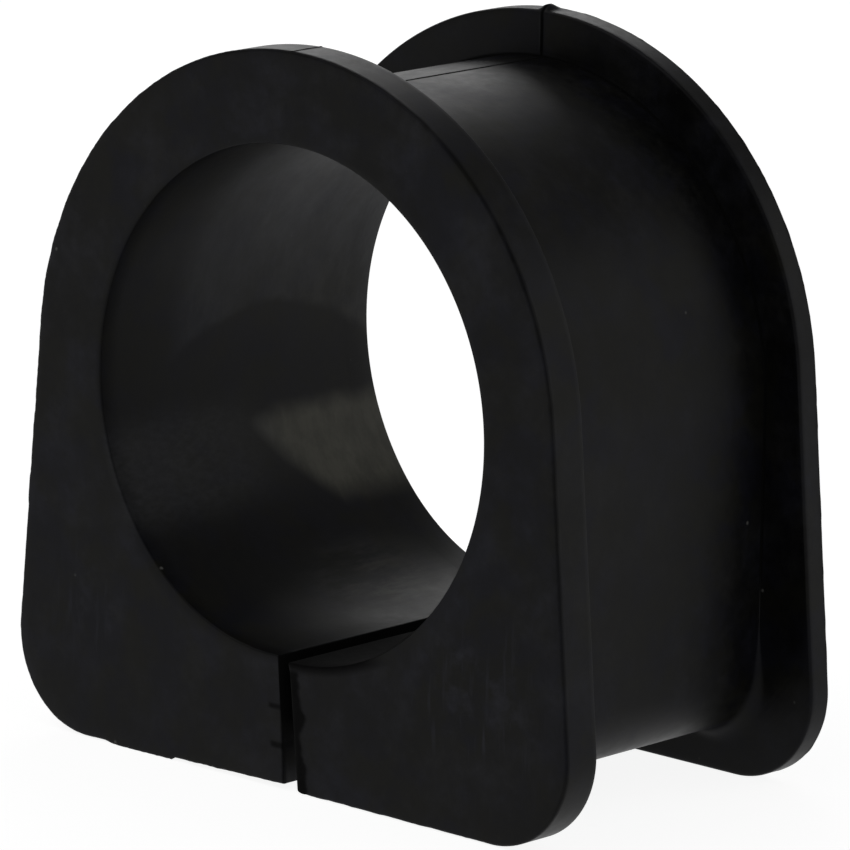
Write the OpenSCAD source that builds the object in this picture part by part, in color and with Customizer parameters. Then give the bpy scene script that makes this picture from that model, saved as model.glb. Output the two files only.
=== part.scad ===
// Split rubber bushing that holds a steering rack housing in its clamp.
// The bore's centre is the origin, the bore runs along Y and the feet point down.
// The front flange is the thick one, on the -Y side.

/* [Bore] */
// Diameter of the bore that grips the rack housing
bore_d = 50; // [44:0.5:56]
// Radius that rounds both mouths of the bore
bore_edge_r = 0.5; // [0.2:0.1:1]

/* [Saddle body] */
// Overall length along the rack, over both flanges
bush_len = 37.5; // [30:0.5:50]
// Rubber between the bore and the top of the body
body_wall = 4.3; // [3.5:0.1:7]
// Rubber between the bore and the underside of the body
body_base = 7.9; // [5:0.1:12]
// Outward lean of the body's sides, in degrees
body_lean_angle = 0; // [0:0.1:3]
// Radius of the body's lower corners
body_corner_r = 6.5; // [5:0.1:8]

/* [Flanges] */
// Thickness of the front flange
front_flange_t = 4.2; // [2:0.1:6]
// Thickness of the rear flange
rear_flange_t = 2.6; // [1.5:0.1:6]
// How far the flanges stand out above the body
flange_rise = 4.2; // [3:0.1:6]
// How far the flanges stand out below the body
foot_rise = 4.3; // [3:0.1:6]
// How far the centre of the flanges' arch lies above the bore's centre
flange_arch_lift = 0.4; // [0:0.1:1]
// Outward lean of the flanges' sides, in degrees
flange_lean_angle = 4.9; // [3:0.1:6]
// Radius of the flanges' lower corners
flange_corner_r = 9.3; // [8:0.1:11]
// Bevel that takes the sharpness off the rims' edges
rim_bevel = 0.3; // [0.1:0.05:0.6]
// Radius of the hollow corner between the body and each flange
groove_fillet_r = 1; // [0.5:0.1:2]

/* [Slit] */
// Width of the cut where it opens into the bore
slit_bore_gap = 0.8; // [0.4:0.1:2]
// Width of the cut at the feet
slit_foot_gap = 1.3; // [0.4:0.1:2.5]

/* [Mould line] */
// Thickness of the fin that the mould's joint leaves over the top
fin_t = 0.3; // [0.1:0.05:0.5]
// Height of that fin
fin_h = 0.2; // [0.1:0.05:0.4]
// Height of the torn nib where the fin crosses the rear rim
nib_h = 0.5; // [0.4:0.1:0.8]

/* [Hidden] */
$fn = 180;
rubber = [0.11, 0.11, 0.115];
// Overlap that joins neighbouring solids and carries cutters past a face
lap = 1;
bore_r = bore_d / 2;
body_arch_r = bore_r + body_wall;
body_drop = bore_r + body_base;
flange_arch_r = body_arch_r + flange_rise;
flange_drop = body_drop + foot_rise;
front_y = -bush_len / 2;
rear_y = bush_len / 2;
groove_front_y = front_y + front_flange_t;
groove_rear_y = rear_y - rear_flange_t;
// Each outline is [arch radius, lean of its sides, drop to its flat, corner radius, arch lift]
body_line = [body_arch_r, body_lean_angle, body_drop, body_corner_r, 0];
flange_line = [
    flange_arch_r, flange_lean_angle, flange_drop, flange_corner_r, flange_arch_lift
];

// Centre of the right lower corner's arc, as [x, z]
function corner_centre(line) =
    let (z = line[3] - line[2])
    [(line[0] - line[3] - (z - line[4]) * sin(line[1])) / cos(line[1]), z];

// The same outline, moved inwards by a distance
function inset(line, by) = [line[0] - by, line[1], line[2] - by, line[3] - by, line[4]];

// Point on the outline's side, at the top end of the straight part
function shoulder(line) = [0, line[4]] + line[0] * [cos(line[1]), sin(line[1])];

// Point on the outline's side, at the bottom end of the straight part
function hip(line) = corner_centre(line) + line[3] * [cos(line[1]), sin(line[1])];

// Stands a shape drawn in X and Y up, so that it is seen along the bore
module along_bore(from_y, length) {
    translate([0, from_y + length, 0])
        rotate([90, 0, 0])
            linear_extrude(height = length)
                children();
}

// Flat D of an outline: a round arch, leaning sides and a flat foot with round corners
module saddle_outline(line) {
    c = corner_centre(line);
    s = shoulder(line);
    h = hip(line);
    translate([0, line[4]])
        circle(r = line[0]);
    polygon([[-s[0], s[1]], [s[0], s[1]], h, [c[0], -line[2]], [-c[0], -line[2]], [-h[0], h[1]]]);
    for (side = [-1, 1])
        translate([side * c[0], c[1]])
            circle(r = line[3]);
}

// Carries a section round an outline. The section's X is the distance outwards from the
// outline and its Y is the distance back along the bore.
module sweep(line) {
    c = corner_centre(line);
    s = shoulder(line);
    h = hip(line);
    side_len = norm(s - h);
    // Arch, whose ends lie inside the leaning sides
    translate([0, 0, line[4]])
        rotate([90, 0, 0])
            rotate_extrude(angle = 180)
                translate([line[0], 0])
                    mirror([0, 1])
                        children();
    // Foot
    translate([0, 0, -line[2]])
        rotate([0, 90, 0])
            linear_extrude(height = 2 * c[0], center = true)
                children();
    for (side = [0, 1])
        mirror([side, 0, 0]) {
            // Leaning side
            translate([h[0], 0, h[1]])
                rotate([0, -line[1], 0])
                    linear_extrude(height = side_len)
                        children();
            // Lower corner
            translate([c[0], 0, c[1]])
                rotate([90, 0, 0])
                    rotate([0, 0, -90])
                        rotate_extrude(angle = 90 + line[1])
                            translate([line[3], 0])
                                mirror([0, 1])
                                    children();
        }
}

// Section of a flange's rim from one of its faces to past the middle, with that edge bevelled
module rim_section(t) {
    c = rim_bevel;
    polygon([[-c - lap, 0], [-c, 0], [0, c], [0, 0.6 * t], [-c - lap, 0.6 * t]]);
}

module flange(from_y, t) {
    along_bore(from_y, t)
        saddle_outline(inset(flange_line, rim_bevel + lap / 2));
    // Each edge is swept from its own face, and the two sweeps overlap in the middle
    for (half = [0, 1])
        translate([0, from_y + half * t, 0])
            mirror([0, half, 0])
                sweep(flange_line)
                    rim_section(t);
}

// Section of the hollow corner: a square with a round bite out of its outer corner
module fillet_section() {
    r = groove_fillet_r;
    difference() {
        translate([-lap, -lap])
            square(r + lap);
        translate([r, r])
            circle(r = r);
    }
}

module groove_fillets() {
    translate([0, groove_front_y, 0])
        sweep(body_line)
            fillet_section();
    translate([0, groove_rear_y, 0])
        sweep(body_line)
            mirror([0, 1])
                fillet_section();
}

// Bore with rounded mouths
module bore_cut() {
    r = bore_edge_r;
    rotate([90, 0, 0])
        cylinder(r = bore_r, h = bush_len + 2 * lap, center = true);
    for (side = [0, 1])
        mirror([0, side, 0])
            translate([0, rear_y, 0])
                rotate([90, 0, 0])
                    rotate_extrude()
                        difference() {
                            translate([bore_r - lap, -lap])
                                square([lap + r, lap + r]);
                            translate([bore_r + r, r])
                                circle(r = r);
                        }
}

// Knife cut from the bore to the feet, a little wider at the feet
module slit_cut() {
    grow = (slit_foot_gap - slit_bore_gap) / 2 / (flange_drop - bore_r);
    top_z = -bore_r + lap;
    foot_z = -flange_drop - lap;
    top_w = slit_bore_gap / 2 - grow * lap;
    foot_w = slit_foot_gap / 2 + grow * lap;
    along_bore(front_y - lap, bush_len + 2 * lap)
        polygon([[-top_w, top_z], [top_w, top_z], [foot_w, foot_z], [-foot_w, foot_z]]);
}

// Fin that follows the rims, the flanges' inner faces and the body over the top
module mould_fin() {
    rim_z = flange_arch_lift + flange_arch_r + fin_h;
    body_z = body_arch_r + fin_h;
    root_z = bore_r + body_wall / 2;
    start_y = front_y + rim_bevel;
    end_y = rear_y - rim_bevel;
    rotate([90, 0, 90])
        linear_extrude(height = fin_t, center = true)
            polygon([
                [start_y, root_z], [start_y, rim_z],
                [groove_front_y + fin_h, rim_z], [groove_front_y + fin_h, body_z],
                [groove_rear_y - fin_h, body_z], [groove_rear_y - fin_h, rim_z],
                [end_y, rim_z], [end_y, root_z]
            ]);
}

// Torn stretch of the fin, thicker and taller, across the rear rim
module torn_nib() {
    rim_z = flange_arch_lift + flange_arch_r;
    start_y = groove_rear_y + rim_bevel;
    end_y = rear_y - rim_bevel;
    middle_y = (start_y + end_y) / 2;
    rotate([90, 0, 90])
        linear_extrude(height = 2 * fin_t, center = true)
            polygon([
                [start_y, rim_z - lap], [start_y, rim_z + fin_h],
                [middle_y - fin_t, rim_z + nib_h], [middle_y + fin_t, rim_z + nib_h],
                [end_y, rim_z + fin_h], [end_y, rim_z - lap]
            ]);
}

module rack_bushing() {
    color(rubber)
        difference() {
            union() {
                along_bore(front_y + lap, bush_len - 2 * lap)
                    saddle_outline(body_line);
                flange(front_y, front_flange_t);
                flange(groove_rear_y, rear_flange_t);
                groove_fillets();
                mould_fin();
                torn_nib();
            }
            bore_cut();
            slit_cut();
        }
}

rack_bushing();
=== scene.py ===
import math

import bpy
import numpy as np
from bpy.props import FloatProperty, PointerProperty
from mathutils import Matrix, Vector, noise


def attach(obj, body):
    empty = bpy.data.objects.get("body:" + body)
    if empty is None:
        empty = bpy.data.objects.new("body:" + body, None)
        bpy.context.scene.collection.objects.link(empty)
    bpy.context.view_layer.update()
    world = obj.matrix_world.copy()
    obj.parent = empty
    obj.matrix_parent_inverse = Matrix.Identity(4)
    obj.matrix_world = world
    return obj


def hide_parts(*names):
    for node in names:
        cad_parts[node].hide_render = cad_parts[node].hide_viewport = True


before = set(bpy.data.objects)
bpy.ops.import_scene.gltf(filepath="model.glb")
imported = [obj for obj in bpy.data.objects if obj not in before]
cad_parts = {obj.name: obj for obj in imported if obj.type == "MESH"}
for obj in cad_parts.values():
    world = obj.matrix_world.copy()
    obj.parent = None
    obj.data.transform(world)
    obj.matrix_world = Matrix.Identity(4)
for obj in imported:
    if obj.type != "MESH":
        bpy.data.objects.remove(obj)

bl_info = {
    "name": "Rack bushing",
    "version": (1, 0, 0),
    "blender": (4, 5, 0),
    "location": "View3D > Sidebar > Bushing",
    "description": "Builds a moulded steering rack bushing and the studio it is shown in",
    "category": "Object",
}

MM = 0.001

# What a loop lies on
BORE, FACE, FRONT_LIP, RIM, FRONT_WALL, BODY, REAR_WALL, REAR_LIP = range(8)


def length(name, mm, description):
    """A length property, given in millimetres and kept in metres."""
    return FloatProperty(
        name=name,
        description=description,
        default=mm * MM,
        min=0.0,
        unit="LENGTH",
        subtype="DISTANCE",
        precision=5,
    )


class BushingShape(bpy.types.PropertyGroup):
    bore_r: length("Bore radius", 25.0, "Radius of the bore")
    bore_edge: length("Bore edge", 0.2, "Radius that rounds both mouths of the bore")
    long: length("Length", 37.5, "Overall length along the bore")
    wall: length("Wall", 4.3, "Rubber between the bore and the top of the body")
    base: length("Base", 7.9, "Rubber between the bore and the underside of the body")
    body_corner: length("Body corner", 6.5, "Radius of the body's lower corners")
    front_t: length("Front flange", 4.2, "Thickness of the front flange")
    rear_t: length("Rear flange", 2.6, "Thickness of the rear flange")
    rise: length("Flange rise", 4.2, "How far the flanges stand above the body")
    foot: length("Foot", 4.3, "How far the flanges stand below the body")
    lift: length("Arch lift", 0.4, "How far the centre of the flanges' arch lies above the bore's")
    corner: length("Flange corner", 9.3, "Radius of the flanges' lower corners")
    rim_edge: length("Rim edge", 0.3, "Radius that rounds the rims' edges")
    fillet: length("Groove fillet", 1.7, "Radius of the groove's corners at the body's lower corners")
    fillet_top: length("Top fillet", 0.1, "Radius of the groove's corners elsewhere")
    lean: FloatProperty(
        name="Side lean",
        description="Outward lean of the flanges' sides",
        default=math.radians(4.9),
        min=0.0,
        max=0.3,
        subtype="ANGLE",
    )


class BushingWear(bpy.types.PropertyGroup):
    slit: length("Slit", 0.9, "Width of the cut where it opens into the bore")
    lift_left: length("Left leg", 0.85, "How far the left leg has sprung up at the cut")
    lift_right: length("Right leg", 0.35, "How far the right leg's bore edge has sprung up")
    apart: length("Apart", 0.25, "How far the left leg has sprung aside at the bore")
    slant: length("Slant", 1.0, "How far the cut's foot lies to the right of its top")
    worn: length("Worn edge", 0.5, "Radius that handling has rubbed on the right leg's front edge")
    flash: length("Flash", 0.42, "Tallest flash left on the front face's edge")
    seam: length("Seam", 0.07, "Height of the mould's seam over the top")
    nib: length("Nib", 0.5, "Height of the torn nib on the rear rim")


# ---------------------------------------------------------------- outlines


def outline_radius(theta, arch, lean, drop, corner, lift):
    """Distance from the bore's centre to a D outline, along each direction theta."""
    c, s = np.abs(np.cos(theta)), np.sin(theta)
    ccz = corner - drop
    ccx = (arch - corner - (ccz - lift) * math.sin(lean)) / math.cos(lean)
    shoulder = np.arctan2(lift + arch * math.sin(lean), arch * math.cos(lean))
    hip = np.arctan2(ccz + corner * math.sin(lean), ccx + corner * math.cos(lean))
    toe = np.arctan2(-drop, ccx)
    up = np.arctan2(s, c)
    on_arch = lift * s + np.sqrt(arch**2 - (lift * c) ** 2)
    on_side = (arch + lift * math.sin(lean)) / np.cos(np.minimum(up - lean, 0.1))
    along = c * ccx + s * ccz
    inside = np.maximum(along**2 - (ccx**2 + ccz**2 - corner**2), 0)
    on_corner = along + np.sqrt(inside)
    on_foot = -drop / np.minimum(s, -1e-6)
    low = np.where(up >= hip, on_side, np.where(up >= toe, on_corner, on_foot))
    return np.where(up >= shoulder, on_arch, low)


def rings(shape):
    """The outlines that the loops follow, as functions of the direction and an outward growth."""
    body = (shape.bore_r + shape.wall, 0.0, shape.bore_r + shape.base, shape.body_corner, 0.0)
    rim = (body[0] + shape.rise, shape.lean, body[2] + shape.foot, shape.corner, shape.lift)

    def follow(line):
        arch, lean, drop, corner, lift = line
        return lambda theta, grow: outline_radius(
            theta, arch + grow, lean, drop + grow, corner + grow, lift
        )

    return {
        "bore": lambda theta, grow: shape.bore_r + grow + 0 * theta,
        "body": follow(body),
        "rim": follow(rim),
    }


def stations(shape, fi):
    """The closed section, as (ring a, growth a, ring b, growth b, share of b, y, edge, zone).

    fi is the groove fillet's radius at each ray."""
    half = shape.long / 2
    gf, gr = -half + shape.front_t, half - shape.rear_t
    be, re = shape.bore_edge, shape.rim_edge
    ri = 0.4 * re
    out = []

    def at(ring, grow, y, edge=0.0, zone=0):
        out.append((ring, grow, ring, grow, 0.0, y, edge, zone))

    def span(a, ga, b, gb, y, shares, zone):
        for f in shares:
            out.append((a, ga, b, gb, f, y, 0.0, zone))

    def run(ring, grow, y0, y1, n, zone):
        for f in np.linspace(0, 1, n + 2)[1:-1]:
            at(ring, grow, y0 + (y1 - y0) * f, 0.0, zone)

    def arc(ring, grow, y, r, a0, a1, n, edge, zone):
        for a in np.radians(np.linspace(a0, a1, n)):
            at(ring, grow + r * math.cos(a), y + r * math.sin(a), edge, zone)

    inner = np.linspace(0, 1, 16)[1:-1]
    short = np.linspace(0, 1, 9)[1:-1]
    run("bore", 0.0, 0.0, -half + be, 8, BORE)
    arc("bore", be, -half + be, be, 180, 270, 5, 1.0, BORE)
    span("bore", be, "rim", -re, -half, inner, FACE)
    arc("rim", -re, -half + re, re, -90, 0, 6, 1.0, FRONT_LIP)
    run("rim", 0.0, -half + re, gf - ri, 7, RIM)
    arc("rim", -ri, gf - ri, ri, 0, 90, 5, 1.0, RIM)
    span("rim", -ri, "body", fi, gf, short, FRONT_WALL)
    arc("body", fi, gf + fi, fi, 270, 180, 7, -1.0, BODY)
    run("body", 0.0, gf + fi, gr - fi, 22, BODY)
    arc("body", fi, gr - fi, fi, 180, 90, 7, -1.0, BODY)
    span("body", fi, "rim", -re, gr, short, REAR_WALL)
    arc("rim", -re, gr + re, re, -90, 0, 5, 1.0, RIM)
    run("rim", 0.0, gr + re, half - re, 5, RIM)
    arc("rim", -re, half - re, re, 0, 90, 6, 1.0, REAR_LIP)
    span("rim", -re, "bore", be, half, inner, FACE)
    arc("bore", be, half - be, be, 90, 180, 5, 1.0, BORE)
    run("bore", 0.0, half - be, 0.0, 8, BORE)
    at("bore", 0.0, 0.0, 0.0, BORE)
    return out


def ray_angles(half_cut):
    """Directions of the rays, in degrees round from the cut, closer together where the shape is fine."""
    cuts = [0.0, 0.08, 0.18, 0.32, 0.5, 0.75, 1.05, 1.4, 1.8, 2.25]
    marks = [half_cut + c for c in cuts]
    a = marks[-1]
    while a < 177.6:
        a += 0.45 if 28 < a < 60 else 0.85
        marks.append(a)
    top = [178.3, 178.75, 179.1, 179.35, 179.55, 179.72, 179.86]
    marks = [m for m in marks if m < 178.0] + top
    left = []
    a = marks[len(cuts) - 1]
    while a < 177.6:
        left.append(a)
        a += 0.45 if a < 130 else 0.7
    left = marks[: len(cuts) - 1] + left + top
    return np.array(marks + [180.0] + [360.0 - m for m in reversed(left)])


# ---------------------------------------------------------------- mesh tools


def only(obj=None):
    """Leaves object mode with nothing selected but obj."""
    if bpy.context.object and bpy.context.object.mode != "OBJECT":
        bpy.ops.object.mode_set(mode="OBJECT")
    bpy.ops.object.select_all(action="DESELECT")
    if obj:
        obj.select_set(True)
        bpy.context.view_layer.objects.active = obj


def get_co(mesh):
    co = np.empty(len(mesh.vertices) * 3)
    mesh.vertices.foreach_get("co", co)
    return co.reshape(-1, 3)


def set_co(mesh, co):
    mesh.vertices.foreach_set("co", np.ascontiguousarray(co, dtype=np.float32).ravel())
    mesh.update()


def smooth(x, lo, hi):
    t = np.clip((x - lo) / (hi - lo), 0, 1)
    return t * t * (3 - 2 * t)


def wander(values, scale, seed):
    """Smooth noise from -1 to 1 along a list of values."""
    return np.array([noise.noise(Vector((v * scale, seed, 0.37))) for v in values])


def section_normals(line):
    """Outward normals of a closed section that runs clockwise in (radius, y)."""
    step = np.roll(line, -1, 0) - np.roll(line, 1, 0)
    n = np.stack([-step[:, 1], step[:, 0]], 1)
    n /= np.maximum(np.linalg.norm(n, axis=1), 1e-12)[:, None]
    area = np.sum(line[:, 0] * np.roll(line[:, 1], -1) - np.roll(line[:, 0], -1) * line[:, 1])
    return n if area < 0 else -n


# ---------------------------------------------------------------- pieces


class RACKBUSH_OT_body(bpy.types.Operator):
    """Extrude a slit ring of rubber round the bore, loop by loop, and wear it as the real one is"""

    bl_idname = "rackbush.body"
    bl_label = "Rubber body"
    bl_options = {"REGISTER", "UNDO"}

    def execute(self, context):
        shape, wear = context.scene.bushing_shape, context.scene.bushing_wear
        half_cut = math.degrees(wear.slit / 2 / shape.bore_r)
        phi = ray_angles(half_cut)
        up = np.minimum(phi, 360 - phi)
        low = smooth(up, 24, 38) * (1 - smooth(up, 42, 54))
        plan = stations(shape, shape.fillet_top + (shape.fillet - shape.fillet_top) * low)
        rays, loops = len(phi), len(plan)

        # A ring of vertices, with its last edge cut away, is extruded once for each loop
        only()
        bpy.ops.mesh.primitive_circle_add(vertices=rays, radius=1.0, fill_type="NOTHING")
        obj = context.object
        obj.name = obj.data.name = "rubber_body"
        co = get_co(obj.data)
        order = np.argsort(np.mod(np.arctan2(co[:, 1], co[:, 0]) + 1e-6, 2 * math.pi))
        spot = np.empty(rays, int)
        spot[order] = np.arange(rays)
        co[:, 0], co[:, 1], co[:, 2] = spot, 0.0, 0.0
        set_co(obj.data, co)
        for e in obj.data.edges:
            a, b = e.vertices
            e.select = abs(spot[a] - spot[b]) > 1
        for v in obj.data.vertices:
            v.select = False
        bpy.ops.object.mode_set(mode="EDIT")
        bpy.ops.mesh.select_mode(type="EDGE")
        bpy.ops.mesh.delete(type="EDGE")
        bpy.ops.mesh.select_all(action="SELECT")
        for _ in range(loops - 1):
            bpy.ops.mesh.extrude_region_move(TRANSFORM_OT_translate={"value": (0, 0, 1)})
        bpy.ops.object.mode_set(mode="OBJECT")

        # Each vertex now says which ray and which loop it belongs to
        co = get_co(obj.data)
        ray = np.rint(co[:, 0]).astype(int)
        loop = np.rint(co[:, 2]).astype(int)
        if len(co) != rays * loops or ray.max() != rays - 1 or loop.max() != loops - 1:
            self.report({"ERROR"}, "The ring's loops didn't extrude as planned")
            return {"CANCELLED"}
        grid, edge, zone = self.lay_loops(shape, wear, plan, phi)
        self.wear_loops(shape, wear, grid, phi, plan, zone)
        set_co(obj.data, grid[loop, ray])
        mark = obj.data.attributes.new("bore", "FLOAT", "POINT")
        mark.data.foreach_set("value", (zone == BORE)[loop].astype(np.float32))
        obj.data.update()

        # The last loop is bridged to the first, and the cut's two walls are filled
        only(obj)
        for v in obj.data.vertices:
            v.select = loop[v.index] in (0, loops - 1)
        for e in obj.data.edges:
            a, b = e.vertices
            e.select = loop[a] == loop[b] and loop[a] in (0, loops - 1)
        bpy.ops.object.mode_set(mode="EDIT")
        bpy.ops.mesh.select_mode(type="EDGE")
        bpy.ops.mesh.bridge_edge_loops()
        bpy.ops.mesh.select_all(action="DESELECT")
        bpy.ops.mesh.select_mode(type="VERT")
        bpy.ops.mesh.select_non_manifold()
        bpy.ops.mesh.edge_face_add()
        bpy.ops.mesh.select_all(action="SELECT")
        bpy.ops.mesh.normals_make_consistent(inside=False)
        bpy.ops.object.mode_set(mode="OBJECT")
        bpy.ops.object.shade_smooth_by_angle(angle=math.radians(40))
        obj.data.materials.clear()
        obj.data.materials.append(rubber_material())
        only()
        return {"FINISHED"}

    def lay_loops(self, shape, wear, plan, phi):
        """Places every vertex of the worn-free ring, with the cut's edges softened."""
        theta = np.radians(phi - 90.0)
        ring = rings(shape)
        rho = np.empty((len(plan), len(phi)))
        y = np.empty_like(rho)
        edge = np.zeros(len(plan))
        zone = np.zeros(len(plan), int)
        for i, (a, ga, b, gb, share, yy, ed, zo) in enumerate(plan):
            rho[i] = ring[a](theta, ga) * (1 - share) + ring[b](theta, gb) * share
            y[i], edge[i], zone[i] = yy, ed, zo
        # Near the cut the section shrinks inwards, which rounds the cut's edges
        front = (zone == FACE) & (y[:, 0] < 0) | (zone == FRONT_LIP)
        from_cut = np.radians(np.minimum(phi, 360 - phi) - phi[0]) * 31 * MM
        for k in np.nonzero(from_cut < 1.3 * MM)[0]:
            r = np.full(len(plan), 0.12 * MM)
            if phi[k] < 180:
                r = np.where(front, wear.worn, 0.25 * MM)
            gone = np.maximum(r - from_cut[k], 0)
            shrink = r - np.sqrt(np.maximum(r * r - gone**2, 0.0))
            n = section_normals(np.stack([rho[:, k], y[:, k]], 1))
            rho[:, k] -= n[:, 0] * shrink * np.where(front, 0.5, 1.0)
            y[:, k] -= n[:, 1] * shrink
        grid = np.stack([rho * np.cos(theta), y, rho * np.sin(theta)], 2)
        return grid, edge, zone

    def wear_loops(self, shape, wear, grid, phi, plan, zone):
        """Adds the mould's seam and flash, the torn nib and the sprung legs, in place."""
        half = shape.long / 2
        theta = np.radians(phi - 90.0)
        out = np.stack([np.cos(theta), np.zeros_like(theta), np.sin(theta)], 1)
        rho = np.hypot(grid[:, :, 0], grid[:, :, 2])
        x, z = grid[:, :, 0].copy(), grid[:, :, 2].copy()

        # Seam over the top, on everything that the two side slides form
        outer = (zone != BORE) & (zone != FACE)
        ridge = np.exp(-((x / (0.13 * MM)) ** 2)) * (z > 0) * outer[:, None]
        rough = 1 + 0.5 * wander([s[5] if np.isscalar(s[5]) else s[5][0] for s in plan], 900, 3.0)
        lift = ridge * wear.seam * rough[:, None]
        for wall, turn in ((FRONT_WALL, 1.2), (REAR_WALL, -1.2)):
            grid[zone == wall, :, 1] += lift[zone == wall] * turn
            lift[zone == wall] = 0
        grid += lift[:, :, None] * out[None]

        # Flash left round the front face, highest under the left leg
        lips = np.nonzero(zone == FRONT_LIP)[0]
        here, depth = x[lips[0]], z[lips[0]]
        ragged = 0.10 + 0.14 * wander(phi, 0.35, 1.0) + 0.10 * wander(phi, 1.7, 2.0)
        low = (depth < -30 * MM) & (here < 0)
        strip = smooth(here, -24.5 * MM, -22.0 * MM) * (here < -14.4 * MM) * low
        side = (here < 0) & (depth < 12 * MM) & (depth > -28 * MM)
        steps = 0.25 * (depth < -6 * MM) + 0.3 * (depth < -12 * MM) - 0.35 * (depth < -15 * MM)
        ragged = np.clip(ragged + 0.45 * side * steps, 0, 1)
        ragged = np.maximum(ragged * (1 - strip), strip * (0.85 + 0.15 * wander(phi, 3.0, 5.0)))
        near_cut = smooth(np.minimum(phi, 360 - phi) - phi[0], 0.3, 1.2)
        for i, share in zip(lips, (0.6, 1.0, 1.0, 0.9, 0.45, 0.0)):
            grid[i] += (ragged * near_cut * wear.flash * share)[:, None] * out

        # A thin lip along the rear flange's back edge
        lip = 0.25 + 0.45 * np.maximum(wander(phi, 0.6, 9.0), 0) * (np.cos(theta) > 0)
        for i, share in zip(np.nonzero(zone == REAR_LIP)[0], (0.0, 0.35, 0.8, 1.0, 0.9, 0.5)):
            grid[i] += (lip * 0.22 * MM * near_cut * share)[:, None] * out

        # The torn nib: the seam stands taller where it crosses the rear rim
        y = grid[:, :, 1]
        rear = ((zone == RIM) | (zone == REAR_LIP))[:, None] & (y > 0) & (z > 0)
        across = smooth(np.abs(x), 1.0 * MM, 0.15 * MM)
        along = smooth(y, half - shape.rear_t, half - 0.7 * shape.rear_t)
        along = along * (1 - smooth(y, half - 0.55 * shape.rear_t, half))
        grid += (rear * across * along * wear.nib)[:, :, None] * out[None]

        # The legs have sprung apart a little at the cut
        away = np.minimum(phi, 360 - phi)
        fade = np.clip(1 - away / 46.0, 0, 1) ** 1.6
        depth = np.clip((rho - shape.bore_r) / (12.2 * MM), 0, 1)
        left = (phi > 180)[None, :]
        at_bore = np.where(left, wear.lift_left, wear.lift_right)
        at_foot = np.where(left, wear.lift_left * 0.53, 0.0)
        grid[:, :, 2] += fade[None, :] * (at_bore * (1 - depth) + at_foot * depth)
        near = 1 - smooth(np.abs(x), 0.5 * MM, 9 * MM)
        grid[:, :, 0] += wear.slant * depth * near * (z < 0)
        grid[:, :, 0] -= np.where(left, fade, 0.0) * wear.apart * (1 + 0.2 * depth)


# ---------------------------------------------------------------- material


def link(tree, a, b):
    tree.links.new(a, b)


def math_node(tree, kind, a, b=None, clamp=False):
    n = tree.nodes.new("ShaderNodeMath")
    n.operation, n.use_clamp = kind, clamp
    for i, v in enumerate((a, b)):
        if v is None:
            continue
        if isinstance(v, (int, float)):
            n.inputs[i].default_value = v
        else:
            link(tree, v, n.inputs[i])
    return n.outputs[0]


def noise_node(tree, vector, scale, detail=3.0, rough=0.55):
    n = tree.nodes.new("ShaderNodeTexNoise")
    n.inputs["Scale"].default_value = scale
    n.inputs["Detail"].default_value = detail
    n.inputs["Roughness"].default_value = rough
    link(tree, vector, n.inputs["Vector"])
    return n.outputs["Fac"]


def ramp(tree, value, lo, hi, to_lo=0.0, to_hi=1.0):
    n = tree.nodes.new("ShaderNodeMapRange")
    n.interpolation_type = "SMOOTHSTEP"
    n.inputs["From Min"].default_value = lo
    n.inputs["From Max"].default_value = hi
    n.inputs["To Min"].default_value = to_lo
    n.inputs["To Max"].default_value = to_hi
    link(tree, value, n.inputs["Value"])
    return n.outputs["Result"]


def mapped(tree, vector, location=(0, 0, 0), scale=(1, 1, 1)):
    n = tree.nodes.new("ShaderNodeMapping")
    n.inputs["Location"].default_value = location
    n.inputs["Scale"].default_value = scale
    link(tree, vector, n.inputs["Vector"])
    return n.outputs["Vector"]


def blob(tree, vector, centre, radii):
    """1 at a place on the object, fading to 0 at the given distances from it."""
    scale = [1 / r for r in radii]
    moved = mapped(tree, vector, [-c * s for c, s in zip(centre, scale)], scale)
    n = tree.nodes.new("ShaderNodeVectorMath")
    n.operation = "LENGTH"
    link(tree, moved, n.inputs[0])
    return ramp(tree, n.outputs["Value"], 0.0, 1.0, 1.0, 0.0)


def band(tree, value, lo, hi, soft):
    """1 while a value lies between two limits, with soft ends."""
    rise = ramp(tree, value, lo - soft, lo + soft)
    fall = ramp(tree, value, hi - soft, hi + soft, 1.0, 0.0)
    return math_node(tree, "MULTIPLY", rise, fall)


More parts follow.
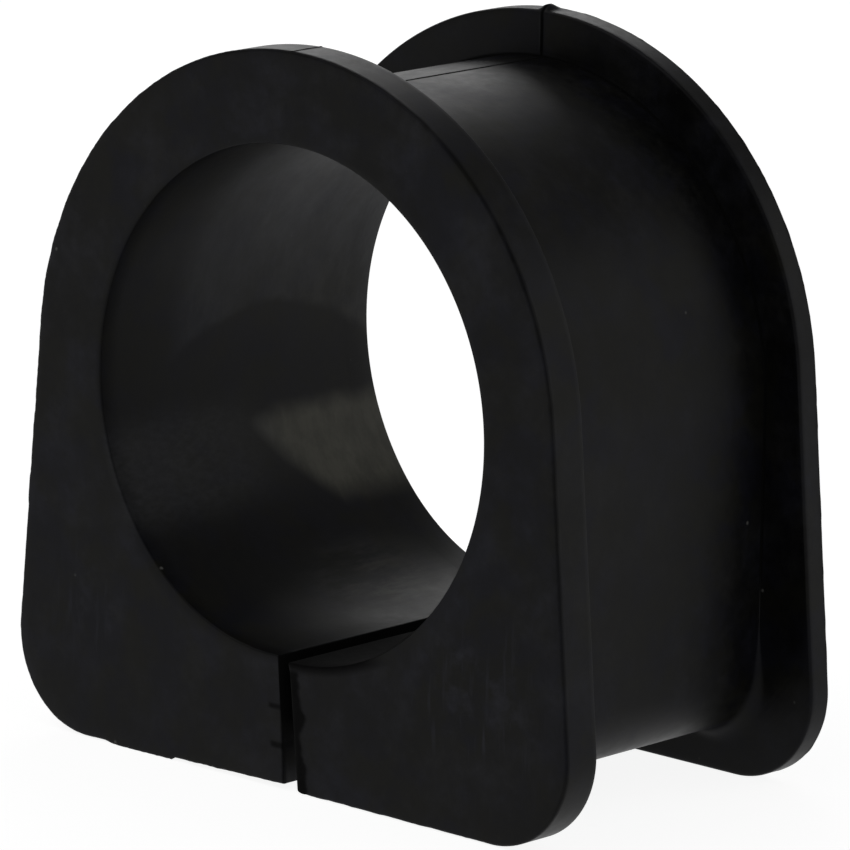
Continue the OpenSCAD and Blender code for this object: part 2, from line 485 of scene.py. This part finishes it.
def rubber_group():
    """Moulded rubber's marks and painted light: bloom with a painted sheen on the front face, dust, painted
    reflections in the bore, painted shade at the seam, the torn edge, the cut and the groove's root, grain.
    """
    g = bpy.data.node_groups.new("Rubber marks and painted light", "ShaderNodeTree")
    face = g.interface
    face.new_socket(name="Position", in_out="INPUT", socket_type="NodeSocketVector")
    face.new_socket(name="Bore", in_out="INPUT", socket_type="NodeSocketFloat")
    for name in ("Bloom and sheen", "Specks", "Painted reflection", "Warm", "Painted shade", "Mottle", "Tint", "Height"):
        face.new_socket(name=name, in_out="OUTPUT", socket_type="NodeSocketFloat")
    gi = g.nodes.new("NodeGroupInput")
    go = g.nodes.new("NodeGroupOutput")
    pos, bore = gi.outputs["Position"], gi.outputs["Bore"]
    split = g.nodes.new("ShaderNodeSeparateXYZ")
    link(g, pos, split.inputs[0])
    x, y, z = split.outputs

    def times(a, b):
        return math_node(g, "MULTIPLY", a, b)

    def most(a, b):
        return math_node(g, "MAXIMUM", a, b)

    def plus(a, b):
        return math_node(g, "ADD", a, b)

    slow = noise_node(g, pos, 85.0, 3.0, 0.6)
    fine = noise_node(g, pos, 900.0, 4.0, 0.65)

    # Bloom: cloudy patches and rubbed streaks on the front face's lower right, fainter at the left, and a
    # fine haze all over that is doubled on the front face as a painted sheen
    right = blob(g, pos, (0.024, -0.0188, -0.024), (0.014, 0.006, 0.014))
    left = blob(g, pos, (-0.026, -0.0188, -0.024), (0.009, 0.006, 0.010))
    cloud = ramp(g, noise_node(g, pos, 300.0, 5.0, 0.62), 0.45, 0.75)
    streaky = mapped(g, pos, (0, 0, 0), (1500.0, 300.0, 170.0))
    streak = ramp(g, noise_node(g, streaky, 1.0, 3.0, 0.6), 0.50, 0.78)
    marks = most(cloud, times(streak, 0.9))
    where = plus(right, times(left, 0.7))
    haze_and_sheen = times(ramp(g, noise_node(g, pos, 150.0, 5.0, 0.65), 0.40, 0.78, 0.0, 0.40), fine)
    # Painted sheen: the haze is twice as strong on the front face, standing in for light the face reflects
    haze_and_sheen = times(haze_and_sheen, ramp(g, y, -0.0180, -0.0186, 1.0, 2.0))
    outside = math_node(g, "SUBTRACT", 1.0, bore)
    link(g, times(most(times(marks, where), haze_and_sheen), outside), go.inputs["Bloom and sheen"])

    # Specks: dust grains, no two alike
    v = g.nodes.new("ShaderNodeTexVoronoi")
    v.inputs["Scale"].default_value = 330.0
    link(g, pos, v.inputs["Vector"])
    dot = ramp(g, v.outputs["Distance"], 0.03, 0.085, 1.0, 0.0)
    keep = ramp(g, noise_node(g, pos, 260.0, 1.0), 0.60, 0.66)
    link(g, times(dot, keep), go.inputs["Specks"])

    # Painted reflections in the bore: lighter patches that stand in for light its wall reflects, laid out by
    # the angle from its top, in degrees, and the distance along it
    angle = math_node(g, "ARCTAN2", math_node(g, "MULTIPLY", x, -1.0), z)
    angle = times(angle, 57.29578)
    wavy = plus(angle, times(math_node(g, "SUBTRACT", slow, 0.5), 9.0))
    lower = plus(110.0, times(math_node(g, "SUBTRACT", y, 0.001), 2600.0))
    lower = math_node(g, "MINIMUM", lower, 131.0)
    below = ramp(g, math_node(g, "SUBTRACT", lower, wavy), -4.0, 5.5)
    patch = times(times(ramp(g, wavy, 105.0, 111.0), below), ramp(g, y, -0.002, 0.003))
    patch = times(patch, ramp(g, y, 0.008, 0.019, 1.0, 0.72))
    arch = math_node(g, "POWER", times(math_node(g, "SUBTRACT", y, 0.004), 95.0), 2.0)
    upper = ramp(g, math_node(g, "SUBTRACT", plus(84.0, times(arch, 6.0)), wavy), -0.5, 2.5)
    upper = times(upper, band(g, angle, 22.0, 140.0, 14.0))
    upper = times(upper, ramp(g, y, -0.0105, -0.0060))
    swirl = ramp(g, noise_node(g, mapped(g, pos, (0, 0, 0), (260.0, 420.0, 260.0)), 1.0, 6.0, 0.7), 0.3, 0.75)
    side = times(band(g, wavy, 104.0, 127.0, 5.0), ramp(g, y, 0.004, -0.004))
    side_streaks = noise_node(g, mapped(g, pos, (0, 0, 0), (300.0, 900.0, 1900.0)), 1.0, 3.0, 0.6)
    side = times(side, ramp(g, side_streaks, 0.30, 0.75, 0.45, 1.0))
    foot = times(band(g, wavy, 146.0, 166.0, 9.0), band(g, y, 0.0, 0.010, 0.006))
    lines = noise_node(g, mapped(g, pos, (0, 0, 0), (500.0, 130.0, 500.0)), 1.0, 5.0, 0.7)
    foot = times(foot, ramp(g, lines, 0.35, 0.7))
    bore_reflection = times(patch, plus(0.72, times(swirl, 0.48)))
    bore_reflection = most(bore_reflection, times(upper, plus(0.18, times(swirl, 0.22))))
    bore_reflection = most(bore_reflection, times(side, 0.28))
    bore_reflection = most(bore_reflection, times(foot, 0.45))
    link(g, times(bore_reflection, bore), go.inputs["Painted reflection"])
    # Warm: the painted reflections turn warmer on the bore's left side and towards the back
    warm = times(ramp(g, angle, 60.0, 112.0), ramp(g, y, -0.004, 0.006))
    link(g, warm, go.inputs["Warm"])

    # Painted shade: along the mould's seam, on the torn edge beside the cut and the nicks across it, on the
    # cut's walls, on the right leg's edge in the bore, along the front face's edge and in the groove's root
    # A dark line painted along the seam over the top, for the shade on its fin's flank
    seam_shade = band(g, x, -0.00019, 0.00019, 0.00007)
    seam_shade = times(times(seam_shade, ramp(g, z, 0.0270, 0.0285)), outside)
    seam_shade = times(seam_shade, band(g, y, -0.01865, 0.01865, 0.00005))
    # The torn band beside the cut is rough, and painted dark for the shade it lies in
    torn_to = plus(0.0018, times(band(g, z, -0.0308, -0.0290, 0.0007), 0.0007))
    torn_to = plus(torn_to, times(ramp(g, z, -0.0332, -0.0345), 0.0005))
    ragged = noise_node(g, mapped(g, pos, (0, 0, 0), (100.0, 100.0, 900.0)), 1.0, 3.0, 0.6)
    torn_to = plus(torn_to, times(math_node(g, "SUBTRACT", ragged, 0.5), 0.0009))
    cut_x = times(math_node(g, "SUBTRACT", -0.025, z), 0.082)
    beside = math_node(g, "SUBTRACT", x, cut_x)
    torn = ramp(g, math_node(g, "SUBTRACT", torn_to, beside), -0.0003, 0.0004)
    torn = times(torn, ramp(g, beside, -0.0004, 0.0))
    nick = most(band(g, z, -0.0295, -0.0290, 0.0002), band(g, z, -0.0333, -0.0327, 0.0002))
    nick = times(nick, band(g, beside, -0.0023, -0.0006, 0.0003))
    front = times(ramp(g, y, -0.0168, -0.0174), ramp(g, z, -0.0235, -0.0245))
    torn = times(times(most(torn, times(nick, 0.75)), front), outside)
    # Painted shade on the right leg's edge in the bore, in the shade of the higher left leg
    lee = times(ramp(g, x, 0.0002, 0.0004), ramp(g, z, -0.0215, -0.0232))
    torn = most(torn, times(lee, bore))
    # Painted shade on the cut's walls, deep in the narrow gap
    walls = times(band(g, beside, -0.00079, 0.00052, 0.00003), ramp(g, z, -0.0241, -0.0243))
    torn = most(torn, walls)
    # Painted shade along the front face's edge, under the flash
    edge_shade = band(g, y, -0.01865, -0.01830, 0.00012)
    edge_shade = times(times(edge_shade, outside), 0.45)
    # Painted shade in the groove's root under the rear flange, on its lower part
    above = math_node(g, "MAXIMUM", z, 0.0)
    from_axis = math_node(g, "POWER", plus(times(x, x), times(above, above)), 0.5)
    root = times(band(g, y, 0.01595, 0.01635, 0.0001), ramp(g, from_axis, 0.0297, 0.0294))
    root = times(times(root, outside), ramp(g, z, -0.021, -0.016))
    edge_shade = most(edge_shade, root)
    link(g, most(most(seam_shade, torn), edge_shade), go.inputs["Painted shade"])

    # Mottle and tint: slow uneven tone, from olive to blue
    link(g, plus(times(slow, 0.6), times(fine, 0.4)), go.inputs["Mottle"])
    link(g, noise_node(g, pos, 190.0, 3.0, 0.6), go.inputs["Tint"])

    # Height: fine grain, a softer swell under it, and tooling streaks round the walls
    grain = noise_node(g, pos, 5200.0, 2.0, 0.6)
    swell = noise_node(g, pos, 180.0, 4.0, 0.55)
    tool = noise_node(g, mapped(g, pos, (0, 0, 0), (600.0, 45.0, 600.0)), 1.0, 3.0, 0.6)
    radius = math_node(g, "POWER", plus(times(x, x), times(z, z)), 0.5)
    ring = g.nodes.new("ShaderNodeCombineXYZ")
    link(g, times(radius, 2600.0), ring.inputs["X"])
    link(g, times(angle, 0.05), ring.inputs["Y"])
    turned = noise_node(g, ring.outputs[0], 1.0, 2.0, 0.5)
    wall = band(g, y, 0.0155, 0.0165, 0.0003)
    h = times(grain, 0.10)
    h = plus(h, times(swell, 0.9))
    h = plus(h, times(tool, 0.30))
    h = plus(h, times(times(turned, wall), 0.35))
    h = plus(h, times(bore_reflection, 0.15))
    link(g, h, go.inputs["Height"])
    return g


def mixed(tree, a, b, share):
    """A colour that goes from a to b; each is a colour or an output."""
    n = tree.nodes.new("ShaderNodeMix")
    n.data_type = "RGBA"
    for name, v in (("A", a), ("B", b)):
        if isinstance(v, tuple):
            n.inputs[name].default_value = (*v, 1)
        else:
            link(tree, v, n.inputs[name])
    link(tree, share, n.inputs["Factor"])
    return n.outputs["Result"]


def rubber_material():
    m = bpy.data.materials.new("black_rubber")
    m.use_nodes = True
    t = m.node_tree
    t.nodes.clear()
    out = t.nodes.new("ShaderNodeOutputMaterial")
    bsdf = t.nodes.new("ShaderNodeBsdfPrincipled")
    where = t.nodes.new("ShaderNodeTexCoord")
    bore = t.nodes.new("ShaderNodeAttribute")
    bore.attribute_name = "bore"
    marks = t.nodes.new("ShaderNodeGroup")
    marks.node_tree = rubber_group()
    link(t, where.outputs["Object"], marks.inputs["Position"])
    link(t, bore.outputs["Fac"], marks.inputs["Bore"])
    mark = marks.outputs

    tint = mixed(t, (0.0068, 0.0066, 0.0050), (0.0052, 0.0054, 0.0082), ramp(t, mark["Tint"], 0.42, 0.6))
    tone = mixed(t, (0.0022, 0.0022, 0.0023), tint, ramp(t, mark["Mottle"], 0.35, 0.62))
    # Bloom lightens the tone; on the front face it also paints a sheen
    tone = mixed(t, tone, (0.040, 0.041, 0.052), math_node(t, "MULTIPLY", mark["Bloom and sheen"], 0.80))
    # The painted reflections' colour, from cool to warm
    bore_reflection = mixed(t, (0.074, 0.076, 0.084), (0.090, 0.088, 0.071), mark["Warm"])
    tone = mixed(t, tone, bore_reflection, mark["Painted reflection"])
    tone = mixed(t, tone, (0.16, 0.16, 0.15), math_node(t, "MULTIPLY", mark["Specks"], 0.6))
    # Painted shade: the shaded places go almost black
    tone = mixed(t, tone, (0.0008, 0.0008, 0.0008), mark["Painted shade"])
    link(t, tone, bsdf.inputs["Base Color"])

    rough = ramp(t, mark["Mottle"], 0.3, 0.7, 0.38, 0.50)
    rough = math_node(t, "ADD", rough, math_node(t, "MULTIPLY", mark["Bloom and sheen"], 0.12))
    rough = math_node(t, "ADD", rough, math_node(t, "MULTIPLY", mark["Painted shade"], 0.45))
    link(t, rough, bsdf.inputs["Roughness"])
    bsdf.inputs["IOR"].default_value = 1.18
    bump = t.nodes.new("ShaderNodeBump")
    bump.inputs["Strength"].default_value = 0.6
    bump.inputs["Distance"].default_value = 0.00006
    link(t, mark["Height"], bump.inputs["Height"])
    link(t, bump.outputs["Normal"], bsdf.inputs["Normal"])
    link(t, bsdf.outputs["BSDF"], out.inputs["Surface"])
    return m


# ---------------------------------------------------------------- stage


def direct_rays(tree):
    """1 on rays from the camera, a reflection or a transmission, so that they all show the same white."""
    path = tree.nodes.new("ShaderNodeLightPath")
    seen = math_node(tree, "MAXIMUM", path.outputs["Is Camera Ray"], path.outputs["Is Glossy Ray"])
    return math_node(tree, "MAXIMUM", seen, path.outputs["Is Transmission Ray"])


def floor_material():
    m = bpy.data.materials.new("white_floor")
    m.use_nodes = True
    t = m.node_tree
    t.nodes.clear()
    out = t.nodes.new("ShaderNodeOutputMaterial")
    direct = direct_rays(t)
    diffuse = t.nodes.new("ShaderNodeBsdfDiffuse")
    link(t, mixed(t, (0.86, 0.86, 0.86), (0.25, 0.25, 0.25), direct), diffuse.inputs["Color"])
    glow = t.nodes.new("ShaderNodeEmission")
    glow.inputs["Color"].default_value = (1, 1, 1, 1)
    link(t, math_node(t, "MULTIPLY", direct, 0.90), glow.inputs["Strength"])
    both = t.nodes.new("ShaderNodeAddShader")
    link(t, diffuse.outputs["BSDF"], both.inputs[0])
    link(t, glow.outputs["Emission"], both.inputs[1])
    link(t, both.outputs["Shader"], out.inputs["Surface"])
    return m


def area(name, where, aim, size, watts):
    bpy.ops.object.light_add(type="AREA", location=where)
    lamp = bpy.context.object
    lamp.name = lamp.data.name = name
    lamp.data.shape = "RECTANGLE"
    lamp.data.size, lamp.data.size_y = size
    lamp.data.energy = watts
    lamp.rotation_euler = (Vector(aim) - Vector(where)).to_track_quat("-Z", "Y").to_euler()
    return lamp


class RACKBUSH_OT_stage(bpy.types.Operator):
    """Lay the white floor, light it softly and set the camera where the photograph was taken"""

    bl_idname = "rackbush.stage"
    bl_label = "Studio"
    bl_options = {"REGISTER", "UNDO"}

    def execute(self, context):
        scene = context.scene
        shape = scene.bushing_shape
        only()
        ground = -(shape.bore_r + shape.base + shape.foot)
        bpy.ops.mesh.primitive_plane_add(size=6.0, location=(0, 0, 0))
        floor = context.object
        floor.name = floor.data.name = "floor"
        co = get_co(floor.data)
        co[:, 2] = ground - 0.00011
        set_co(floor.data, co)
        floor.data.materials.append(floor_material())

        world = bpy.data.worlds.new("studio")
        world.use_nodes = True
        t = world.node_tree
        t.nodes.clear()
        out = t.nodes.new("ShaderNodeOutputWorld")
        back = t.nodes.new("ShaderNodeBackground")
        coord = t.nodes.new("ShaderNodeTexCoord")
        split = t.nodes.new("ShaderNodeSeparateXYZ")
        link(t, coord.outputs["Generated"], split.inputs[0])
        horizon = ramp(t, split.outputs["Z"], 0.06, 0.40, 1.0, 0.30)
        behind = ramp(t, split.outputs["Y"], -0.35, 0.45, 0.28, 1.0)
        room = math_node(t, "MULTIPLY", horizon, behind)
        link(t, math_node(t, "MAXIMUM", room, 0.28), back.inputs["Strength"])
        back.inputs["Color"].default_value = (1, 1, 1, 1)
        link(t, back.outputs["Background"], out.inputs["Surface"])
        scene.world = world

        rear = area("rear_left_softbox", (-0.45, 0.55, 0.32), (0, 0, 0), (0.34, 0.24), 0.6)
        right = area("rear_right_softbox", (0.40, 0.52, 0.28), (0, 0, 0), (0.36, 0.26), 0.35)
        above = area("top_softbox", (-0.30, -0.30, 0.60), (0, 0, 0), (0.5, 0.5), 1.0)

        # The photograph's camera, found from the bore's and the flanges' outlines
        az, el, roll = math.radians(42.74), math.radians(12.70), math.radians(0.88)
        behind = Vector((math.sin(az) * math.cos(el), -math.cos(az) * math.cos(el), math.sin(el)))
        across = Vector((math.cos(az), math.sin(az), 0.0))
        up = behind.cross(across)
        right = math.cos(roll) * across + math.sin(roll) * up
        above = -math.sin(roll) * across + math.cos(roll) * up
        bpy.ops.object.camera_add(location=behind * 0.69056 + right * 0.00022 - above * 0.00448)
        cam = context.object
        cam.name = "photo_camera"
        cam.rotation_euler = Matrix((right, above, behind)).transposed().to_euler()
        cam.data.sensor_width = 36.0
        cam.data.lens = 305.0
        cam.data.clip_start, cam.data.clip_end = 0.05, 20.0
        scene.camera = cam
        scene.view_settings.view_transform = "Standard"
        only()
        return {"FINISHED"}


# ---------------------------------------------------------------- add-on


class RACKBUSH_PT_panel(bpy.types.Panel):
    bl_label = "Rack bushing"
    bl_idname = "RACKBUSH_PT_panel"
    bl_space_type = "VIEW_3D"
    bl_region_type = "UI"
    bl_category = "Bushing"

    def draw(self, context):
        col = self.layout.column()
        for group in (context.scene.bushing_shape, context.scene.bushing_wear):
            for name in group.__annotations__:
                col.prop(group, name)
        col.operator("rackbush.body")
        col.operator("rackbush.stage")


CLASSES = (BushingShape, BushingWear, RACKBUSH_OT_body, RACKBUSH_OT_stage, RACKBUSH_PT_panel)


def register():
    for c in CLASSES:
        bpy.utils.register_class(c)
    bpy.types.Scene.bushing_shape = PointerProperty(type=BushingShape)
    bpy.types.Scene.bushing_wear = PointerProperty(type=BushingWear)


def unregister():
    del bpy.types.Scene.bushing_wear
    del bpy.types.Scene.bushing_shape
    for c in reversed(CLASSES):
        bpy.utils.unregister_class(c)


def main():
    register()
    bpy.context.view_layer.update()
    for step in (bpy.ops.rackbush.body, bpy.ops.rackbush.stage):
        if step() != {"FINISHED"}:
            raise RuntimeError("a step of the scene didn't finish")
    body = bpy.data.objects["rubber_body"]
    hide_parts("rack_bushing")
    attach(body, "root")


if __name__ == "__main__":
    main()
